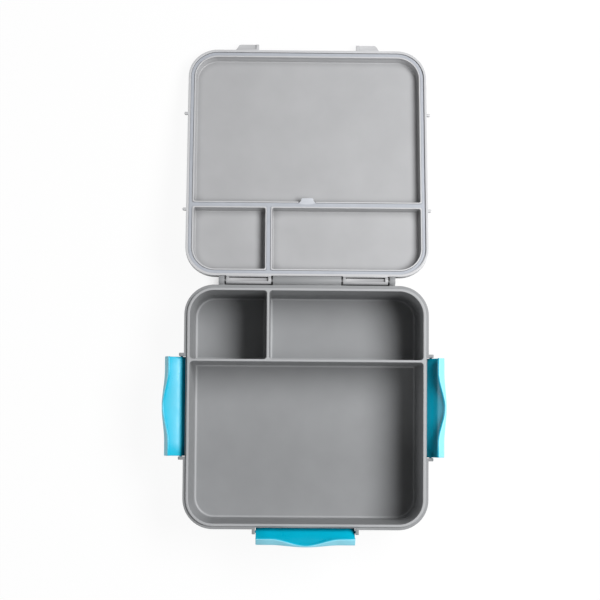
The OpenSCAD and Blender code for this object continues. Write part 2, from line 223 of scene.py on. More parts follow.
class Finishes(bpy.types.PropertyGroup):
    """Colours of the materials, in linear light."""

    tub: colour("Tub", (0.26, 0.265, 0.272))
    lid: colour("Lid", (0.394, 0.396, 0.405))
    seal: colour("Seal", (0.385, 0.405, 0.445))
    clip: colour("Clip", (0.0, 0.42, 0.60))
    # The paler tints below are painted highlights: on the pull tab, on the tub's and lid's edges and on the
    # clip's hook
    seal_tab_highlight: colour("Highlit seal", (0.52, 0.54, 0.58), "in the pull tab")
    tub_highlight: colour("Highlight tub", (0.368, 0.374, 0.383), "on its edges")
    lid_highlight: colour("Highlight lid", (0.52, 0.523, 0.535), "on its edges")
    clip_highlight: colour("Highlight clip", (0.24, 0.64, 0.78), "on the hook")
    pin: colour("Pin", (0.62, 0.62, 0.63), "of drawn steel")


class StageSettings(bpy.types.PropertyGroup):
    """Camera, lamps, world and floor."""

    camera_at: FloatVectorProperty(
        **described("Camera", "place"), default=(-0.0311, -0.0244, 1.7036), subtype="TRANSLATION"
    )
    camera_turn: FloatVectorProperty(
        **described("Camera turn", "about each axis"),
        default=(radians(3.86), radians(-0.91), radians(0.40)),
        subtype="EULER",
    )
    lens: number("Lens", 121.6, "on a 36 mm sensor, in mm")
    key_power: number("Key power", 21.0, "of the main lamp", unit="POWER")
    key_size: size("Key size", 0.6, "across the oval lamp", 1)
    key_length: size("Key length", 1.0, "along the oval lamp", 1)
    key_height: angle("Key height", 56, "above the table")
    key_round: angle("Key direction", 13, "from the right")
    edge_power: number("Edge power", 4.0, "of the low lamp on the left", unit="POWER")
    front_power: number("Front power", 2.4, "of the low lamp in front", unit="POWER")
    lamp_distance: size("Lamp distance", 1.2, "from the box", 1)
    fill: number("Fill", 0.04, "of light from all round", min=0.0)
    floor_white: number(
        "Floor white", 0.94, "as a share of its own glow", min=0.0, max=1.0, subtype="FACTOR"
    )


class LunchBoxSettings(bpy.types.PropertyGroup):
    """All settings of the lunch box."""

    tub: PointerProperty(type=TubSizes)
    lid: PointerProperty(type=LidSizes)
    seal: PointerProperty(type=SealSizes)
    clip: PointerProperty(type=ClipSizes)
    finish: PointerProperty(type=Finishes)
    stage: PointerProperty(type=StageSettings)


def arc(centre, r, start, end, steps=ROUND_STEPS):
    """Points of an arc between two angles in degrees."""
    turns = [radians(start + (end - start) * i / steps) for i in range(steps + 1)]
    return [(centre[0] + r * cos(a), centre[1] + r * sin(a)) for a in turns]


def circle(centre, r):
    """Points of a full circle."""
    return arc(centre, r, 0, 360, BORE_STEPS)[:-1]


def eased(profile):
    """Adds a point near both ends of each long span, so that flat faces shade flat."""
    points = [profile[0]]
    for a, b in zip(profile, profile[1:]):
        span = sqrt(sum((q - p) ** 2 for p, q in zip(a, b)))
        if span > LONG_SPAN:
            for share in (SHADE_MARGIN / span, 1 - SHADE_MARGIN / span):
                points.append(tuple(p + (q - p) * share for p, q in zip(a, b)))
        points.append(b)
    return points


def ring(box, radii, lean, z, rear_stops=()):
    """One loop of a rounded box whose sides x0, x1, y0, y1 are drawn in by lean."""
    x = (box[0] + lean[0], box[1] - lean[1])
    y = (box[2] + lean[2], box[3] - lean[3])
    arcs = []
    for q, (i, j) in enumerate(((1, 0), (1, 1), (0, 1), (0, 0))):
        r = max(radii[q] - (lean[i] + lean[2 + j]) / 2, LEAST_RADIUS)
        centre = (x[i] + (-r if i else r), y[j] + (-r if j else r))
        arcs.append(arc(centre, r, 90 * (q - 1), 90 * q, CORNER_STEPS))
    loop = []
    for q in range(4):
        start, end = Vector(arcs[q][-1]), Vector(arcs[(q + 1) % 4][0])
        along = (end - start).normalized() * SHADE_MARGIN
        stops = [(stop, start.y) for stop in rear_stops] if q == 1 else []
        loop += arcs[q] + [tuple(start + along)] + stops + [tuple(end - along)]
    return [Vector((px, py, z)) for px, py in loop]


def compartments(tub, edge, mid, small=0.0):
    """The main, small and wide compartments, each as its box, its corner radii and its outer walls.

    The box and the walls are in the order x0, x1, y0, y1. The radii start at the front right and go
    round counter-clockwise."""
    x0, x1, y0, y1 = edge - tub.half_w, tub.half_w - edge, edge - tub.half_l, tub.half_l - edge
    big = tub.corner_r - edge
    return (
        ((x0, x1, y0, tub.cross_y - mid), (big, small, small, big), (1, 1, 1, 0)),
        ((x0, tub.short_x - mid, tub.cross_y + mid, y1), (small, small, big, small), (1, 0, 0, 1)),
        ((tub.short_x + mid, x1, tub.cross_y + mid, y1), (small, big, small, small), (0, 1, 0, 1)),
    )


def pocket_rings(compartment, profile, wall_lean, divider_lean, rear_stops=()):
    """The rings of a pocket; its profile has a share of the sides' lean, a further inset and a height."""
    box, radii, outer_walls = compartment
    rings = []
    for share, inset, z in eased(profile):
        lean = [share * (wall_lean if outer else divider_lean) + inset for outer in outer_walls]
        rings.append(ring(box, radii, lean, z, rear_stops))
    return rings


def leaning(share, profile):
    """A profile of insets and heights with a share of the sides' lean."""
    return [(share, inset, z) for inset, z in profile]


def shrunk(outline, inset):
    """A counter-clockwise outline drawn in by inset."""
    points = [Vector(p) for p in outline]
    inward = [(b - a).normalized().orthogonal() for a, b in zip(points, points[1:] + points[:1])]
    corners = zip(points, inward[-1:] + inward, inward)
    return [tuple(point + inset * (m + n) / (1 + m.dot(n))) for point, m, n in corners]


def rectangle(x0, x1, y0, y1):
    """A counter-clockwise rectangle."""
    return [(x0, y0), (x1, y0), (x1, y1), (x0, y1)]


def on_side(side, near, far):
    """The span between two distances from the middle, on the side -1 or 1."""
    return sorted((side * near, side * far))


def meeting_angle(r, z):
    """Where a barrel about the hinge meets a level beside the tub, in degrees."""
    return degrees(acos(-sqrt(r**2 - (HINGE.z - z) ** 2) / r))


def upright(u, v, w):
    """A point of an outline in x and y, at the height w."""
    return Vector((u, v, w))


def along_x(u, v, w):
    """A point of an outline in y and z, at w along the hinge."""
    return Vector((w, u, v))


def about_z(turn):
    """A turn in degrees about the upright axis."""
    return Matrix.Rotation(radians(turn), 3, "Z")


def laid_back():
    """The turn that lays the closed lid back about the hinge."""
    return Matrix.Translation(HINGE) @ Matrix.Rotation(-LID_OPEN, 4, "X") @ Matrix.Translation(-HINGE)


class Shell:
    """Collects the loops and faces of closed mouldings."""

    def __init__(self):
        self.bm = bmesh.new()

    def loft(self, rings):
        """Skins a list of rings of points and returns their loops."""
        loops = [[self.bm.verts.new(point) for point in points] for points in rings]
        for low, high in zip(loops, loops[1:]):
            for i in range(len(low)):
                j = (i + 1) % len(low)
                self.bm.faces.new((low[i], low[j], high[j], high[i]))
        return loops

    def cap(self, loop):
        """One flat face over a loop."""
        self.bm.faces.new(loop)

    def fill(self, *loops):
        """A flat area inside the first loop and outside the others."""
        edges = []
        for loop in loops:
            for i, vert in enumerate(loop):
                pair = (loop[i - 1], vert)
                edges.append(self.bm.edges.get(pair) or self.bm.edges.new(pair))
        bmesh.ops.triangle_fill(self.bm, use_beauty=True, edges=edges)

    def prism(self, outline, span, place, bevel, bore=None):
        """A plate over a counter-clockwise outline, with bevelled ends and a round hole if bore is given.

        place turns outline coordinates and a level into a point; bore is a centre and a radius."""
        start, end = span
        steps = ((bevel, 0), (0.3 * bevel, 0.3 * bevel), (0, bevel))
        levels = [(inset, start + rise) for inset, rise in steps]
        levels += [(inset, end - rise) for inset, rise in reversed(steps)]
        loops = self.loft([[place(u, v, w) for u, v in shrunk(outline, inset)] for inset, w in levels])
        if bore is None:
            self.cap(loops[0])
            self.cap(loops[-1])
            return
        hole = circle(*bore)
        walls = self.loft([[place(u, v, w) for u, v in hole] for w in (start, end)])
        self.fill(loops[0], walls[0])
        self.fill(loops[-1], walls[1])

    def mesh(self, name):
        """The closed shells as a mesh with outward faces."""
        bmesh.ops.recalc_face_normals(self.bm, faces=self.bm.faces)
        mesh = bpy.data.meshes.new(name)
        self.bm.to_mesh(mesh)
        self.bm.free()
        return mesh


def hollowed(name, tub, outside, pockets):
    """A closed moulding around the rim from the profile of its outside and the rings of its pockets."""
    shell = Shell()
    rim = (-tub.half_w, tub.half_w, -tub.half_l, tub.half_l)
    loops = shell.loft([ring(rim, [tub.corner_r] * 4, [inset] * 4, z) for inset, z in eased(outside)])
    shell.cap(loops[0])
    pockets = [shell.loft(rings) for rings in pockets]
    for pocket in pockets:
        shell.cap(pocket[-1])
    shell.fill(loops[-1], *[pocket[0] for pocket in pockets])
    return shell.mesh(name)


def linked(name, data):
    """A new object in the scene."""
    obj = bpy.data.objects.new(name, data)
    bpy.context.scene.collection.objects.link(obj)
    return obj


def evaluated_mesh(obj, name):
    """The object's mesh with its modifiers applied."""
    bpy.context.view_layer.update()
    depsgraph = bpy.context.evaluated_depsgraph_get()
    mesh = bpy.data.meshes.new_from_object(obj.evaluated_get(depsgraph), depsgraph=depsgraph)
    mesh.name = name
    return mesh


def combined(name, body, added=None, removed=None):
    """One closed mesh from a body, what is joined to it and what is cut out of it."""
    spare = [linked(name, body)]
    for tool, operation in ((added, "UNION"), (removed, "DIFFERENCE")):
        if tool is not None:
            spare.append(linked(tool.name, tool))
            joint = spare[0].modifiers.new(operation.title(), "BOOLEAN")
            joint.operation, joint.solver, joint.object = operation, "MANIFOLD", spare[-1]
    result = evaluated_mesh(spare[0], name)
    for obj in spare:
        mesh = obj.data
        bpy.data.objects.remove(obj)
        bpy.data.meshes.remove(mesh)
    return result


def is_closed(mesh):
    """Whether every edge of the mesh has two faces."""
    bm = bmesh.new()
    bm.from_mesh(mesh)
    closed = all(len(edge.link_faces) == 2 for edge in bm.edges)
    bm.free()
    return closed


def finished(name, mesh, material, body, node, place=None):
    """Makes the piece's object, smooth with sharp edges, and ties it to the frame."""
    if place is not None:
        mesh.transform(place)
    if not is_closed(mesh):
        raise RuntimeError(f"{name} is not closed")
    mesh.shade_smooth()
    mesh.set_sharp_from_angle(angle=SHARP_ANGLE)
    mesh.materials.clear()
    mesh.materials.append(material)
    piece = linked(name, mesh)
    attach(piece, body)
    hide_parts(node)


class Graph:
    """Adds nodes to a tree with their settings, values and links in one call."""

    def __init__(self, tree):
        self.tree = tree
        tree.nodes.clear()

    def add(self, kind, inputs=None, **settings):
        """The outputs of a new node; inputs are values or sockets by name or index."""
        node = self.tree.nodes.new(kind)
        for key, value in settings.items():
            setattr(node, key, value)
        for key, value in (inputs or {}).items():
            for one in value if isinstance(value, list) else [value]:
                if isinstance(one, bpy.types.NodeSocket):
                    self.tree.links.new(one, node.inputs[key])
                else:
                    node.inputs[key].default_value = one
        return node.outputs

    def shape(self, kind, inputs, **settings):
        """The first output of a new geometry node."""
        return self.add("GeometryNode" + kind, inputs, **settings)[0]

    def moved(self, geometry, by):
        """Geometry moved by a vector."""
        return self.shape("Transform", {"Geometry": geometry, "Translation": by})

    def merged(self, geometry):
        """Geometry with the points that meet made one."""
        return self.shape("MergeByDistance", {"Geometry": geometry, "Distance": 0.01 * MM})

    def math(self, operation, a, b):
        """Two values combined."""
        return self.add("ShaderNodeMath", {0: a, 1: b}, operation=operation)[0]

    def vector(self, x=0.0, y=0.0, z=0.0):
        """A vector from three values."""
        return self.add("ShaderNodeCombineXYZ", {0: x, 1: y, 2: z})[0]

    def noise(self, point, scale, detail=3.0):
        """A noise pattern's value."""
        return self.add("ShaderNodeTexNoise", {"Vector": point, "Scale": scale, "Detail": detail})["Fac"]

    def spread(self, value, low, high, over=(0.3, 0.7), step="LINEAR"):
        """A value's range spread between two others."""
        ends = {"From Min": over[0], "From Max": over[1], "To Min": low, "To Max": high}
        return self.add("ShaderNodeMapRange", {"Value": value, **ends}, interpolation_type=step)["Result"]

    def openness(self, reach, samples=8):
        """How far the surroundings within reach leave a place open, from 0 to 1."""
        return self.add("ShaderNodeAmbientOcclusion", {"Distance": reach}, samples=samples)["AO"]

    def mix(self, share, first, second, blend="MIX"):
        """A colour between two others."""
        ends = {}
        for key, end in (("A", first), ("B", second)):
            ends[key] = end if isinstance(end, bpy.types.NodeSocket) else (*end, 1.0)
        return self.add("ShaderNodeMix", {"Factor": share, **ends}, data_type="RGBA", blend_type=blend)[2]

    def either(self, share, first, second):
        """A mix of two shaders."""
        return self.add("ShaderNodeMixShader", {0: share, 1: first, 2: second})[0]


def new_material(name):
    """An empty node material with its graph."""
    material = bpy.data.materials.new(name)
    material.use_nodes = True
    return material, Graph(material.node_tree)


def object_point(graph):
    """The place on the piece, for patterns."""
    return graph.add("ShaderNodeTexCoord")["Object"]


def coated(graph, pigment, roughness, relief, **more):
    """Ends a material's graph in one coat; relief is a pattern, its strength and its depth."""
    height, strength, depth = relief
    bump = graph.add("ShaderNodeBump", {"Height": height, "Strength": strength, "Distance": depth})[0]
    inputs = {"Base Color": pigment, "Roughness": roughness, "Normal": bump}
    inputs.update({name.replace("_", " "): value for name, value in more.items()})
    graph.add("ShaderNodeOutputMaterial", {"Surface": graph.add("ShaderNodeBsdfPrincipled", inputs)[0]})


SHORT_FADE = 0.2 * MM


def highlight_band(axis, rise, fall, rear=-1.0):
    """A painted highlight band that sets in and fades over two spans of height along an axis, behind a place
    in y.
    """

    def factor(graph, point):
        height = graph.add("ShaderNodeVectorMath", {0: point, 1: axis}, operation="DOT_PRODUCT")["Value"]
        above, below = graph.spread(height, 0.0, 1.0, rise), graph.spread(height, 1.0, 0.0, fall)
        y = graph.add("ShaderNodeSeparateXYZ", {0: point})["Y"]
        behind = graph.spread(y, 0.0, 1.0, (rear, rear + SHORT_FADE))
        return graph.math("MULTIPLY", graph.math("MULTIPLY", above, below), behind)

    return factor


def tub_edge_highlights(tub):
    """Painted highlights on the tub's rim and along the round edges of its floors."""
    up, rim_z, floor_z = (0, 0, 1), tub.rim_z, tub.stand_h + tub.floor_t
    rim = highlight_band(up, (rim_z - 0.7 * MM, rim_z - 0.2 * MM), (rim_z + 1.0 * MM, rim_z + 1.2 * MM))
    fade = (floor_z + 0.4 * tub.floor_fillet, floor_z + tub.floor_fillet)
    edge = highlight_band(up, (floor_z + 0.05 * MM, floor_z + 0.25 * MM), fade)
    return lambda graph, point: graph.math("MAXIMUM", rim(graph, point), edge(graph, point))


def marked_highlights(graph, point):
    """A painted highlight where the mesh is marked for it."""
    return graph.add("ShaderNodeAttribute", attribute_name="rubbed")["Fac"]


# Painted shade in a moulding's creases: its reach, the darkest share of colour and the openness it fades over
CREASE_SHADE = (4 * MM, 0.35, (0.1, 0.45))
SOFT_CREASE_SHADE = (9 * MM, 0.5, (0.35, 0.9))
GLOSS_PLAY = 0.05
GRAIN_DEPTH = 0.05 * MM


def moulded_plastic(name, tint, highlight_tint, highlight_mask, roughness, shine, crease_shade=CREASE_SHADE, grain=0.1, mottle=0.035):
    """Moulded plastic: cloudy pigment, paler edges as a painted highlight, painted shade in creases, a fine
    grain and uneven gloss.
    """
    material, graph = new_material(name)
    point = object_point(graph)
    clouds = graph.spread(graph.noise(point, scale=38.0, detail=4.0), 0.0, 1.0)
    dark = [c * (1 - mottle) for c in tint]
    light = [min(c * (1 + mottle), 1.0) for c in tint]
    # Where the mask is set the colour turns to the paler tint, a painted highlight
    pigment = graph.mix(highlight_mask(graph, point), graph.mix(clouds, dark, light), highlight_tint)
    # Ambient occlusion darkens the colour in creases and near walls, a painted shade
    reach, darkest, span = crease_shade
    shade = graph.spread(graph.openness(reach), darkest, 1.0, span)
    pigment = graph.mix(1.0, pigment, shade, blend="MULTIPLY")
    gloss = graph.noise(point, scale=160.0)
    gloss = graph.spread(gloss, roughness - GLOSS_PLAY, roughness + GLOSS_PLAY)
    relief = (graph.noise(point, scale=2600.0, detail=2.0), grain, GRAIN_DEPTH)
    coated(graph, pigment, gloss, relief, Specular_IOR_Level=shine)
    return material


def milky_silicone(name, tint, tab_highlight_tint, behind_tab):
    """Soft silicone with faint clouds and a velvety skin, with a painted highlight on the pull tab near a
    point behind it.
    """
    material, graph = new_material(name)
    point = object_point(graph)
    away = graph.add("ShaderNodeVectorMath", {0: point, 1: behind_tab}, operation="DISTANCE")["Value"]
    # The pull tab turns paler near a point behind it, a painted highlight
    tab_highlight = graph.spread(away, 1.0, 0.0, over=(25.2 * MM, 26.0 * MM))
    clouds = graph.spread(graph.noise(point, scale=90.0), 0.0, 1.0)
    mottle, grain = 0.04, 0.15
    milky = graph.mix(clouds, [c * (1 - mottle) for c in tint], [c * (1 + mottle) for c in tint])
    gloss = graph.spread(graph.noise(point, scale=240.0), low=0.42, high=0.54)
    relief = (graph.noise(point, scale=1800.0, detail=2.0), grain, GRAIN_DEPTH)
    coated(graph, graph.mix(tab_highlight, milky, tab_highlight_tint), gloss, relief, Sheen_Weight=0.08)
    return material


def drawn_steel(name, tint):
    """Steel wire with fine drawing lines along the hinge, with painted shade inside its bores."""
    material, graph = new_material(name)
    stretch = {"Vector": object_point(graph), "Scale": (30.0, 3000.0, 3000.0)}
    drawn = graph.noise(graph.add("ShaderNodeMapping", stretch)[0], scale=1.0, detail=2.0)
    darkest, grain, depth = 0.05, 0.2, 0.02 * MM
    # Ambient occlusion darkens the steel inside the bores, a painted shade
    shade = graph.spread(graph.openness(reach=4.0 * MM), darkest, 1.0, over=(0.3, 0.8))
    pigment = graph.mix(shade, [c * darkest for c in tint], tint)
    gloss = graph.spread(drawn, low=0.25, high=0.38)
    coated(graph, pigment, gloss, (drawn, grain, depth), Metallic=1.0)
    return material


def tub_walls(tub):
    """The tub's walls, floor and rim with its three compartments."""
    bead_in = tub.ledge_w + tub.bead_w
    wall_out = bead_in - tub.wall_t
    ledge_z = tub.rim_z - tub.bead_h
    under_z = ledge_z - tub.flange_t
    foot_r = tub.floor_fillet + tub.floor_t
    foot_in = wall_out + tub.wall_lean
    neck, lip, corner, crest, flat = 0.8 * MM, 0.5 * MM, 0.3 * MM, 0.6 * MM, 0.2 * MM
    outside = (
        [(foot_in + foot_r + SHADE_MARGIN, tub.stand_h)]
        + arc((foot_in + foot_r, tub.stand_h + foot_r), foot_r, 270, 180, FOOT_STEPS)
        + arc((wall_out - neck, under_z - neck), neck, 0, 90)
        + arc((lip, under_z + lip), lip, 270, 180)
        + arc((lip, ledge_z - lip), lip, 180, 90)
        + arc((tub.ledge_w - corner, ledge_z + corner), corner, 270, 360)
        + arc((tub.ledge_w + crest, tub.rim_z - crest), crest, 180, 90)
        + [(tub.ledge_w + crest + flat, tub.rim_z)]
    )
    floor_z = tub.stand_h + tub.floor_t
    edge, margin, bend = tub.edge_round, 0.15 * MM, tub.floor_fillet
    inside = (
        [(0.0, -edge - margin, tub.rim_z)]
        + leaning(0.0, arc((-edge, tub.rim_z - edge), edge, 90, 0))
        + leaning(1.0, arc((bend, floor_z + bend), bend, 180, 270, FILLET_STEPS))
        + [(1.0, bend + SHADE_MARGIN, floor_z)]
    )
    boxes = compartments(tub, bead_in, tub.divider_t / 2, tub.divider_r)
    pockets = [pocket_rings(box, inside, tub.wall_lean, tub.divider_lean) for box in boxes]
    return hollowed("tub_walls", tub, outside, pockets)


def tub_fittings(tub):
    """The stand panel, the clip ears and the hinge barrels."""
    shell = Shell()
    wall_out = tub.ledge_w + tub.bead_w - tub.wall_t
    ledge_z = tub.rim_z - tub.bead_h
    stand_in = wall_out + tub.wall_lean + tub.floor_fillet + tub.floor_t + tub.stand_step
    x = (tub.half_w - stand_in, tub.half_w - tub.corner_r)
    y = (tub.half_l - stand_in, tub.half_l - tub.corner_r)
    stand = [(x[0], -y[1]), (x[0], y[1]), (x[1], y[0]), (-x[1], y[0])]
    stand += [(-u, -v) for u, v in stand]
    shell.prism(stand, (0, tub.stand_h + tub.floor_t / 2), upright, bevel=0.25 * MM)

    sunk, tip, ear_bevel = 1.6 * MM, 1.1 * MM, 0.35 * MM
    root = PIVOT_OUT + wall_out + sunk
    top = ledge_z - SIDE_PIVOT.z
    ear = (
        [(-root, -tub.ear_foot)]
        + arc((0, 0), tub.ear_r, -90, 0)
        + arc((tub.ear_r - tip, top - tip), tip, 0, 90)
        + [(-root, top)]
    )
    for turn, reach in ((0, SIDE_PIVOT.x), (180, SIDE_PIVOT.x), (270, -FRONT_PIVOT.y)):

        def beside(u, v, w):
            return about_z(turn) @ Vector((reach + u, w, SIDE_PIVOT.z + v))

        for start in (tub.ear_from, -tub.ear_from - tub.ear_t):
            span = (start, start + tub.ear_t)
            shell.prism(ear, span, beside, ear_bevel, ((0, 0), tub.stub_bore))

    web = 3 * MM
    inner_y = tub.half_l - wall_out - OVERLAP
    barrel = (
        [(inner_y, ledge_z - tub.flange_t - web)]
        + arc(HINGE_YZ, tub.barrel_r, -90, 360 - meeting_angle(tub.barrel_r, ledge_z), BARREL_STEPS)
        + [(inner_y, ledge_z)]
    )
    bevel = 0.3 * MM
    shell.prism(barrel, (-tub.centre_barrel, tub.centre_barrel), along_x, bevel)
    for side in (1, -1):
        span = on_side(side, tub.block_from, tub.block_from + tub.block_len)
        shell.prism(barrel, span, along_x, bevel, (HINGE_YZ, tub.pin_bore))
    return shell.mesh("tub_fittings")


def tub_shelves(tub):
    """The shelf under each lid knuckle, which closes the hinge's gaps from below."""
    shell = Shell()
    inner_y = tub.half_l - tub.ledge_w - tub.bead_w + tub.wall_t / 2
    top = HINGE.z - tub.shelf_drop
    shelf = rectangle(inner_y, HINGE.y + tub.shelf_out, top - tub.shelf_t, top)
    for side in (-1, 1):
        span = on_side(side, tub.centre_barrel - OVERLAP, tub.block_from + OVERLAP)
        shell.prism(shelf, span, along_x, bevel=0.2 * MM)
    return shell.mesh("tub_shelves")


def tub_cuts(tub):
    """The blind holes for the pins and the relief in the flange beside each clip."""
    shell = Shell()
    bevel, mouth, past, above = 0.05 * MM, 0.3 * MM, 2 * MM, 0.5 * MM
    for side in (-1, 1):
        span = on_side(side, tub.centre_barrel - tub.pin_seat, tub.centre_barrel + mouth)
        shell.prism(circle(HINGE_YZ, tub.pin_bore), span, along_x, bevel)
    ledge_z = tub.rim_z - tub.bead_h
    span = (ledge_z - tub.flange_t - OVERLAP, ledge_z + above)
    for turn, half in ((0, tub.half_w), (180, tub.half_w), (270, tub.half_l)):
        relief = rectangle(half - tub.clip_relief, half + past, -tub.ear_from, tub.ear_from)
        shell.prism(relief, span, lambda u, v, w: about_z(turn) @ Vector((u, v, w)), bevel)
    return shell.mesh("tub_cuts")


class LUNCHBOX_OT_tub(bpy.types.Operator):
    """Build the moulded tub with its compartments, ears and hinge barrels"""

    bl_idname = "lunchbox.tub"
    bl_label = "Tub"

    def execute(self, context):
        settings = context.scene.lunch_box
        tub, finish = settings.tub, settings.finish
        walls = combined("tub_walls", tub_walls(tub), tub_shelves(tub))
        mesh = combined("tub_moulding", walls, tub_fittings(tub), tub_cuts(tub))
        # The rim and the floors' round edges get a paler tint, a painted highlight; creases get painted shade
        grey = moulded_plastic(
            "tub_plastic", finish.tub, finish.tub_highlight, tub_edge_highlights(tub), roughness=0.45, shine=0.2
        )
        finished("tub_moulding", mesh, grey, "tub", "base_tub")
        return {"FINISHED"}


def lid_walls(tub, lid, seal):
    """The closed lid: raised top, edge, lip, seal channel, ribs and recesses."""
    lip_z = tub.rim_z - tub.bead_h + lid.lip_gap
    edge_z = tub.rim_z + lid.edge_rise
    ceiling_z = edge_z - lid.skin_t
    top_z = tub.rim_z + lid.rise
    panel_z = top_z - lid.skin_t
    rib_z = tub.rim_z - lid.rib_dip
    recess_in = lid.groove_in + lid.rib_t
    slope = lid.lean / (panel_z - rib_z)
    foot_in = recess_in + slope * (edge_z - rib_z) - lid.skin_t
    crest_in = foot_in + slope * (top_z - lid.edge_r - edge_z)
    r, neck, lip = lid.edge_r, 0.8 * MM, 0.3 * MM
    outside = (
        [(crest_in + r + SHADE_MARGIN, top_z)]
        + arc((crest_in + r, top_z - r), r, 90, 180, FILLET_STEPS)
        + arc((foot_in - neck + slope * neck, edge_z + neck), neck, 360, 270)
        + arc((r, edge_z - r), r, 90, 180, FILLET_STEPS)
        + arc((lip, lip_z + lip), lip, 180, 270, EDGE_STEPS)
        + arc((lid.lip_t - lip, lip_z + lip), lip, 270, 360, EDGE_STEPS)
        + [(lid.lip_t, ceiling_z)]
    )
    # The ribs around the recesses: down from the ceiling, over the rib's end and up into the recess
    bar_half = seal.bar_w / 2
    edge, bend, foot = 0.15 * MM, lid.recess_r, 0.7 * MM
    down = [(0.0, 0.0, ceiling_z)] + leaning(0.0, arc((edge, rib_z + edge), edge, 180, 270, EDGE_STEPS))
    up = (
        leaning(0.0, arc((-edge, rib_z + edge), edge, 270, 360, EDGE_STEPS))
        + [(0.05, 0.0, ceiling_z), (0.2, 0.0, ceiling_z + foot)]
        + leaning(1.0, arc((bend, panel_z - bend), bend, 180, 90, FILLET_STEPS))
        + [(1.0, bend + SHADE_MARGIN, panel_z)]
    )
    half, step = lid.notch_half, 0.02 * MM
    stops = [half + step, half, -half, -half - step]
    ribs = compartments(tub, lid.groove_in, bar_half, lid.rib_corner_r)
    recesses = compartments(tub, recess_in, bar_half + lid.bar_rib_t, lid.rib_corner_r)
    pockets = []
    for rib, recess, rear_stops in zip(ribs, recesses, (stops, (), ())):
        rings = pocket_rings(rib, down, 0.0, 0.0, rear_stops)
        pockets.append(rings + pocket_rings(recess, up, lid.lean, lid.ridge_lean, rear_stops))
    # The main compartment's rib is lifted where the pull tab crosses it
    notch_z, notch_y = tub.rim_z + lid.notch_rise, tub.cross_y - 4 * MM
    for point in sum(pockets[0], []):
        if abs(point.x) <= half + step / 2 and point.y > notch_y:
            point.z = max(point.z, notch_z)
    return hollowed("lid_walls", tub, outside, pockets)


def lid_fittings(tub, lid):
    """The knuckles, finger tabs and clip guides of the closed lid."""
    shell = Shell()
    lip_z = tub.rim_z - tub.bead_h + lid.lip_gap
    inner_y = tub.half_l - OVERLAP
    knuckle = (
        [(inner_y, lip_z)]
        + arc(HINGE_YZ, lid.knuckle_r, -meeting_angle(lid.knuckle_r, lip_z), 90, BARREL_STEPS)
        + [(inner_y, HINGE.z + lid.knuckle_r)]
    )
    nib, corner, corner_end = 0.5 * MM, 2.6 * MM, 322
    tab = (
        [(0, OVERLAP)]
        + arc((nib, -lid.tab_out + nib), nib, 180, 270)
        + arc((lid.tab_len - lid.tab_slant, -lid.tab_out + corner), corner, 270, corner_end)
        + [(lid.tab_len, 0), (lid.tab_len, OVERLAP)]
    )
    r = lid.guide_w / 2
    nose = arc((lid.guide_out - r, 0), r, -90, 90, GUIDE_STEPS)
    guide = [(-OVERLAP, -r)] + nose + [(-OVERLAP, r)]
    bevel, guide_bevel = 0.3 * MM, 0.6 * MM
    for side in (-1, 1):
        span = on_side(side, lid.knuckle_from, lid.knuckle_from + lid.knuckle_len)
        shell.prism(knuckle, span, along_x, bevel, (HINGE_YZ, lid.pin_bore))

        def at_front(u, v, w):
            return Vector((side * (tub.ear_from + u), v - tub.half_l, w))

        shell.prism(tab, (lip_z, lip_z + lid.tab_t), at_front, bevel)
        for end in (-1, 1):

            def at_side(u, v, w):
                return Vector((side * (tub.half_w + u), end * (tub.ear_from + tub.ear_t / 2) + v, w))

            shell.prism(guide, (lip_z, lip_z + lid.guide_h), at_side, guide_bevel)
    return shell.mesh("lid_fittings")


def lid_cuts(tub, lid):
    """The slots moulded into the knuckles' undersides and the step in each finger tab."""
    shell = Shell()
    lip_z = tub.rim_z - tub.bead_h + lid.lip_gap
    bevel, past, strip, clear = 0.1 * MM, 2 * MM, 0.6 * MM, 0.1 * MM
    bottom = HINGE.z - lid.knuckle_r
    pocket_y, floor_z = HINGE.y + lid.pocket_w / 2, bottom + lid.pocket_depth
    slit_to = HINGE.y - lid.pin_bore - clear
    slit_from, slit_z = slit_to - lid.slit_w, floor_z + lid.slit_depth
    pocket = rectangle(slit_from, pocket_y, bottom - OVERLAP, floor_z)[:3]
    pocket += [(slit_to, floor_z), (slit_to, slit_z), (slit_from, slit_z)]
    near, far = -tub.half_l - lid.tab_out - past, -tub.half_l - strip
    for side in (-1, 1):
        knuckle_to = lid.knuckle_from + lid.knuckle_len
        span = on_side(side, lid.knuckle_from + lid.pocket_end, knuckle_to - lid.pocket_end)
        shell.prism(pocket, span, along_x, bevel)
        left, right = on_side(side, tub.ear_from + lid.tab_block, tub.ear_from + lid.tab_len + past)
        step = rectangle(left, right, near, far)
        shell.prism(step, (lip_z - OVERLAP, lip_z + lid.tab_step), upright, bevel)
    return shell.mesh("lid_cuts")


class LUNCHBOX_OT_lid(bpy.types.Operator):
    """Build the lid with its seal channel, ribs, knuckles, finger tabs and clip guides"""

    bl_idname = "lunchbox.lid"
    bl_label = "Lid"

    def execute(self, context):
        settings = context.scene.lunch_box
        tub, lid, finish = settings.tub, settings.lid, settings.finish
        fittings = combined("lid_fittings", lid_fittings(tub, lid), None, lid_cuts(tub, lid))
        mesh = combined("lid_moulding", lid_walls(tub, lid, settings.seal), fittings)
        place = laid_back()
        # A paler band over the rib ends is a painted highlight; creases get painted shade
        down = place.to_3x3() @ Vector((0.0, 0.0, -1.0))
        edge = down.dot(place.translation) - tub.rim_z + lid.rib_dip
        rise, fall = (edge - 0.5 * MM, edge - 0.2 * MM), (edge + 1.0 * MM, edge + 1.2 * MM)
        highlight_mask = highlight_band(down, rise, fall, HINGE.y + lid.knuckle_r)
        grey = moulded_plastic(
            "lid_plastic", finish.lid, finish.lid_highlight, highlight_mask, roughness=0.36, shine=0.4, crease_shade=SOFT_CREASE_SHADE
        )
        finished("lid_moulding", mesh, grey, "lid", "lid_shell", place)
        return {"FINISHED"}


# How far a gusset is tucked in, as a share of its radius, and its height as a share of the strip's
TUCK_SHARE = 0.4
WEDGE_SHARE = 0.84


